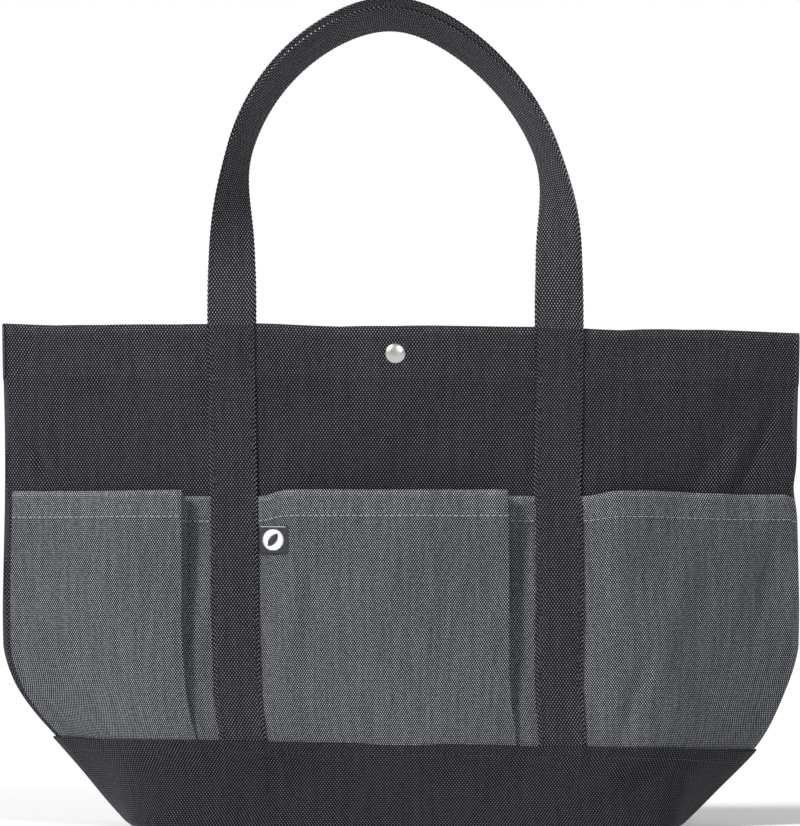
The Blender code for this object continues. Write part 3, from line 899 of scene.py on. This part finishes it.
def makePocket(part, face, columns):
    v = np.linspace(0, 1, pocket["rows"])
    path = evenColumns(roundCorners(pocketSection(part, v), 2), columns)
    s, lift = path[..., 0], path[..., 1]
    nearStrap = np.abs(s[-1]) < 0.150
    caught = nearStrap * (1 - smooth((lift[-1] - pocket["onWall"]) / 0.010))
    if part == "right":
        caught = caught + 0.75 * smooth((s[-1] - 0.150) / 0.08)
    corner = smooth((0.008 - fromSeam(s[-1], bag["pocketHeight"])) / 0.006)
    dip = pocket["sink"] + pocket["drop"] * caught + pocket["cornerDrop"] * corner
    z = pocketRowHeight(v)[:, None] - (v**3)[:, None] * dip
    ripple = 0.0004 * np.sin(s * 130 + z * 60) * v[:, None] + furrows(s, z, pocketFolds[part])
    inHem = smooth((z - z[-1:] + pocket["hemDepth"] + 0.001) / 0.002)
    grid = clothPoint(s, z, lift + ripple + 0.0003 * inHem, face)
    name = f"{faceNames[face]}Pocket{part.capitalize()}"
    hemRows = int(pocket["hemDepth"] / (bag["pocketHeight"] - pocket["foot"]) * pocket["rows"])
    piece = hemmedCloth(name, grid, greyCanvas, face, pocket["cloth"], pocket["hem"], hemRows)
    row, normal = grid[-hemRows - 1], gridNormals(grid, face)[-hemRows - 1]
    stitches = stitchPiece(name + "Stitches", [(row + normal * 0.0002, normal)], paleThread)
    for made in (piece, stitches):
        if part == "middle":
            bendMiddle(made)
        else:
            bendSide(made)
    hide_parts(f"{faceNames[face]}_pocket_{part}")
    return grid


pocketGrids = {}
for face in (front, back):
    for part, columns in (("left", 240), ("middle", 320), ("right", 190)):
        pocketGrids[face, part] = makePocket(part, face, columns)
print("pockets made")


label = {
    "size": 0.0182,
    "thick": 0.0007,
    "gap": 0.0003,
    "clear": 0.0013,  # from the strap's edge
    "steps": 41,
    "cornerCut": 0.055,
    "border": 0.00018,
    "disc": 0.74,  # radius, this and the rest in halves of the label
    "discWide": 1.06,
    "leafLength": 0.54,
    "leafWidth": 0.30,
    "leafTurn": math.radians(-38),
}


# A rounded square patch on the pleat's slope, with a disc, a leaf and an edge in satin stitch.
def makeLabel():
    low, high = cadBox("label_tab")
    grid = pocketGrids[front, "middle"]
    half = label["size"] / 2
    middleZ = (low[2] + high[2]) / 2
    middleX = strapMiddle(-1, middleZ) + strap["width"] / 2 + label["clear"] + half
    t = np.linspace(-1, 1, label["steps"])
    u, v = np.meshgrid(t, t)
    corner = 1 - label["cornerCut"] * np.clip(np.abs(v) - 0.8, 0, 1) / 0.2
    surface = slopePoints(grid, middleX + half * corner * u, middleZ + half * v)
    normal = gridNormals(surface)
    crown = (1 - np.abs(u) ** 14) * (1 - np.abs(v) ** 14)
    rim = np.maximum(np.abs(u), np.abs(v))
    raised = label["thick"] * (0.45 + 0.55 * crown) + label["border"] * ((rim > 0.84) & (rim < 0.95))
    outer = surface + normal * (label["gap"] + raised)[..., None]
    inner = (surface + normal * label["gap"])[::-1]
    piece = gridPiece("label", np.concatenate([outer, inner]), labelCloth, close=0)
    bendMiddle(piece)
    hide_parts("label_tab")
    out = normal[label["steps"] // 2, label["steps"] // 2]

    def threadLine(du, dv, lift):
        du, dv = np.broadcast_arrays(du, dv)
        path = slopePoints(grid, middleX + half * du, middleZ + half * dv)
        return path + out * (label["gap"] + label["thick"] + lift)

    disc = []
    for dv in np.linspace(-0.70, 0.70, 35):
        reach = label["discWide"] * math.sqrt(label["disc"] ** 2 - dv**2)
        disc.append(threadLine(np.linspace(-reach, reach, 12), dv, 0.0001))
    threadRods("labelDisc", disc, 0.00042, whiteThread)
    leaf = []
    c, s = math.cos(label["leafTurn"]), math.sin(label["leafTurn"])
    for k in np.linspace(-0.95, 0.95, 27):
        width = label["leafWidth"] * (1 - k * k) ** 0.8
        across, along = np.linspace(-width, width, 8), label["leafLength"] * k
        bow = 0.10 * (np.abs(across) - width)
        leaf.append(threadLine(across * c - along * s, across * s + along * c + bow, 0.00032))
    threadRods("labelLeaf", leaf, 0.00040, darkThread)
    edge = threadLine(np.linspace(-0.92, 0.92, 24), 0.93, 0.0001)
    threadRods("labelEdge", [edge, edge - [0, 0, 0.00034]], 0.00042, paleThread)


# Rods of thread laid side by side, each one closed to a point at its ends.
def threadRods(name, lines, thick, material):
    rods = []
    angle = np.arange(6)[:, None] * math.pi / 3
    for path in lines:
        ahead = unit(np.gradient(path, axis=0))
        side = unit(np.cross(ahead, [0.0, -1.0, 0.0]))
        up = np.cross(side, ahead)
        radius = np.full(len(path), thick / 2)
        radius[[0, -1]] = 0
        ring = side[:, None] * np.cos(angle) + up[:, None] * np.sin(angle)
        rods.append(path[:, None] + ring * radius[:, None, None])
    rows, around = rods[0].shape[:2]
    faces = copyFaces(ringQuads(rows, around), len(rods), rows * around)
    piece = quadPiece(name, np.concatenate(rods).reshape(-1, 3), faces, material)
    mergePoles(piece, 1e-6, outwards=True)
    bendMiddle(piece)


# The pocket's own surface at given x and z: y is read from its grid, row by row then between rows.
def slopePoints(grid, x, z):
    rows = []
    for row in grid[::4]:
        part = row[: len(row) // 3]
        order = np.argsort(part[:, 0])
        rows.append((part[:, 2].mean(), part[order, 0], part[order, 1]))
    heights = np.array([r[0] for r in rows])
    y = np.array([np.interp(x.ravel(), r[1], r[2]) for r in rows])
    at = np.clip(np.searchsorted(heights, z.ravel()) - 1, 0, len(rows) - 2)
    t = (z.ravel() - heights[at]) / (heights[at + 1] - heights[at])
    columns = np.arange(x.size)
    found = y[at, columns] * (1 - t) + y[at + 1, columns] * t
    return np.stack([x, found.reshape(x.shape), z], -1)


makeLabel()
print("label made")


base = {
    "cloth": 0.0014,
    "edgeRound": 0.0030,
    "floor": 0.0024,
    "columns": 220,
    "seamDrop": 0.0064,
    "behind": (0.047, 0.043, 0.0396),  # rows down the back of the folded edge
    "inside": (0.0394, 0.030, 0.020, 0.012, 0.006),  # rows down the inside of the bag
}


# How much the band is pushed out by the straps and pockets caught under its top edge.
def bandCover(s, z):
    reach = smooth((z - 0.026) / 0.018)
    push = 0.0012 * smooth((fromSeam(s, z) - 0.002) / 0.006)
    for side in (-1, 1):
        away = np.abs(s - strapMiddle(side, z)) - strap["width"] / 2
        push = push + 0.0010 * (1 - smooth((away + 0.0012) / 0.0042))
    return 0.0003 + (push + 0.0009 * smooth(fromSeam(s, z) / 0.012)) * reach


# Rows of the base, from the middle of its underside out and up the band, over the folded top
# edge, down behind it and in across the floor. A ring's points shrink towards the middle.
def makeBase():
    u = np.linspace(-1, 1, base["columns"])
    columns = [(front, u[:-1]), (back, -u[:-1])]
    levels = np.linspace(base["edgeRound"], bag["bandHeight"], 40)
    turn = np.linspace(0, math.pi / 2, 7)[:-1]
    roll = np.linspace(0, math.pi, 7)[1:]
    shrink = np.array([0.0, 0.25, 0.5, 0.7, 0.84, 0.93, 0.98])
    halves = []
    for face, share in columns:
        def ring(z, lift, scale=1.0):
            z = np.full_like(share, z)
            points = clothPoint(share * wallRun(z), z, lift, face)
            points[:, :2] *= scale
            return points

        def cover(z):
            z = np.full_like(share, z)
            return bandCover(share * wallRun(z), z) + base["cloth"]

        r = base["edgeRound"]
        rows = [ring(0.0, cover(r) - r, k) for k in shrink]
        rows += [ring(r * (1 - np.cos(t)), cover(r) - r * (1 - np.sin(t))) for t in turn]
        rows += [ring(z, cover(z)) for z in levels]
        top, thick = bag["bandHeight"], base["cloth"] / 2
        rows += [ring(top + thick * np.sin(t), cover(top) - thick + thick * np.cos(t)) for t in roll]
        rows += [ring(z, cover(z) - 2 * thick) for z in base["behind"]]
        rows += [ring(z, -wall["cloth"]) for z in base["inside"]]
        rows += [ring(base["floor"], -0.003, k) for k in shrink[::-1]]
        halves.append(np.stack(rows))
    grid = np.concatenate(halves, 1)
    uneven = 0.0005 * (1 + np.sin(grid[..., 0] * 31) * np.cos(grid[..., 1] * 44))
    onFloor = np.concatenate([1 - shrink, np.zeros(len(grid) - 2 * len(shrink)), (1 - shrink)[::-1]])
    grid[..., 2] = np.maximum(grid[..., 2] + uneven * onFloor[:, None], 0.0)
    piece = mergePoles(gridPiece("base", grid, bandCanvas))
    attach(piece, "shell")
    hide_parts("base_panel")
    lines = []
    for face in (front, back):
        z = np.full(500, bag["bandHeight"] - base["seamDrop"])
        s = np.linspace(-1, 1, 500) * (wallRun(z) - 0.002)
        lines.append(wallLine(s, z, bandCover(s, z) + base["cloth"] + onCloth, face))
    stitches = stitchPiece("baseStitches", lines, darkThread)
    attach(stitches, "shell")


makeBase()
print("base made")


binding = {"width": 0.010, "thick": 0.0026, "inset": 0.0008, "rows": 120, "around": 24}


# A flat superellipse section carried up the inside of each side seam.
def makeBinding(side):
    z = np.linspace(0.006, bag["rimHeight"] - 0.0015, binding["rows"])
    _, acrossTape, throughTape = superellipse(binding["around"], 0.4, 0.6)
    middle = halfWidth(z)[:, None] - binding["inset"] - binding["width"] / 2 * (1 - acrossTape)
    y = binding["thick"] / 2 * throughTape + 0.0004 * np.sin(90 * z)[:, None]
    height = z[:, None] + swayHeight(side * wallRun(z), z, front)[:, None]
    x = footSway(side * middle, z[:, None])
    grid = np.stack(np.broadcast_arrays(x, y, height), -1)
    name = "sideSeam" + sideNames[side]
    piece = gridPiece(name, grid, bindingTape, front if side > 0 else back)
    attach(piece, "shell")
    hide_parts("side_seam_left" if side < 0 else "side_seam_right")


for side in (-1, 1):
    makeBinding(side)
print("seams bound")


snapSegments = 72


# Spins a profile of (radius, height) about the snap's axis, with height along outward y.
def turned(name, profile, node, direction):
    low, high = cadBox(node)
    centre = (low + high) / 2
    seat = low[1] if direction > 0 else high[1]
    angle = np.linspace(0, 2 * math.pi, snapSegments, endpoint=False)
    r, h = np.array(profile).T[..., None]
    x, z = centre[0] + r * np.cos(angle), centre[2] + r * np.sin(angle)
    grid = np.stack(np.broadcast_arrays(x, seat + direction * h, z), -1)
    facing = back if direction > 0 else front
    piece = mergePoles(gridPiece(name, grid, nickel, facing))
    piece.data.shade_smooth()
    piece.data.set_sharp_from_angle(angle=math.radians(35))
    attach(piece, "front_wall" if centre[1] < 0 else "back_wall")
    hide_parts(node)


# A cap is a low dome, (1 - r^2.4), with a rolled rim, on its rivet.
def capProfile(node):
    low, high = cadBox(node)
    radius, height = (high[0] - low[0]) / 2, high[1] - low[1]
    face = height - 0.0022
    r = np.linspace(0.93, 0, 14)
    dome = [(radius * k, face + 0.0010 + 0.0013 * (1 - k**2.4)) for k in r]
    rim = [(radius * 0.985, face + 0.0009), (radius, face + 0.0005), (radius * 0.97, face + 0.0001)]
    return [(0, 0), (0.0015, 0), (0.0015, face)] + [(radius * 0.94, face)] + rim[::-1] + dome


for node, direction in (("snap_cap", -1), ("snap_stud_cap", 1)):
    turned("snapCap" + ("Front" if direction < 0 else "Back"), capProfile(node), node, direction)
top = cadBox("snap_socket")[1][1] - cadBox("snap_socket")[0][1]
turned("snapSocket", [
    (0.0018, 0), (0.0051, 0), (0.0055, 0.0004), (0.0055, top - 0.0009), (0.0052, top - 0.0003),
    (0.0046, top), (0.0036, top - 0.0001), (0.0032, top - 0.0006), (0.0032, 0.0010),
    (0.0018, 0.0008), (0.0018, 0),
], "snap_socket", 1)
turned("snapStud", [
    (0.0018, 0), (0.0051, 0), (0.0055, 0.0004), (0.0053, 0.0008), (0.0030, 0.0010), (0.0024, 0.0013),
    (0.0025, 0.0020), (0.0028, 0.0026), (0.0026, 0.0031), (0.0021, 0.0032), (0.0018, 0.0030), (0.0018, 0),
], "snap_stud", -1)
print("snap made")


stage = {"half": 6.0, "drop": 0.0005, "glow": 0.24}


def makeStage():
    tools = shaderTools("paleFloor")
    tools.paint({
        "Base Color": (0.95, 0.95, 0.95), "Roughness": 0.9, "Specular IOR Level": 0.1,
        "Emission Color": (1, 1, 1), "Emission Strength": stage["glow"],
    })
    r, z = stage["half"], -stage["drop"]
    corners = [(-r, -r, z), (r, -r, z), (r, r, z), (-r, r, z)]
    quadPiece("floor", corners, [(0, 1, 2, 3)], tools.material)


lamps = {"key": (3.15, (-1.82, -1.93, 1.75)), "front": (0.84, (0.9, -2.4, 1.0))}
lampAngle = math.radians(12)
ambient = 0.22


# White to the camera and a weak, even light to everything else, with a wide key light from
# above on the left and a weaker one from the front.
def makeLight():
    world = bpy.data.worlds.new("studio")
    world.use_nodes = True
    tree = world.node_tree
    backdrop = tree.nodes["Background"]
    backdrop.inputs[0].default_value = (1, 1, 1, 1)
    path = tree.nodes.new("ShaderNodeLightPath")
    level = tree.nodes.new("ShaderNodeMapRange")
    level.inputs["To Min"].default_value = ambient
    level.inputs["To Max"].default_value = 1.0
    tree.links.new(path.outputs["Is Camera Ray"], level.inputs["Value"])
    tree.links.new(level.outputs[0], backdrop.inputs[1])
    bpy.context.scene.world = world
    for name, (strength, place) in lamps.items():
        data = bpy.data.lights.new(name, "SUN")
        data.energy, data.angle = strength, lampAngle
        lamp = addObject(name, data)
        lamp.location = place
        lamp.rotation_euler = (-Vector(place)).to_track_quat("-Z", "Y").to_euler()


view = {"distance": 8.0, "field": 0.5262, "sensor": 36, "x": -0.0006, "height": 0.2622}


def makeCamera():
    data = bpy.data.cameras.new("camera")
    data.lens = view["sensor"] * view["distance"] / view["field"]
    data.clip_end = 100
    camera = addObject("camera", data)
    camera.location = (view["x"], -view["distance"], view["height"])
    camera.rotation_euler = (math.pi / 2, 0, 0)
    bpy.context.scene.camera = camera


makeStage()
makeLight()
makeCamera()
print("stage ready")
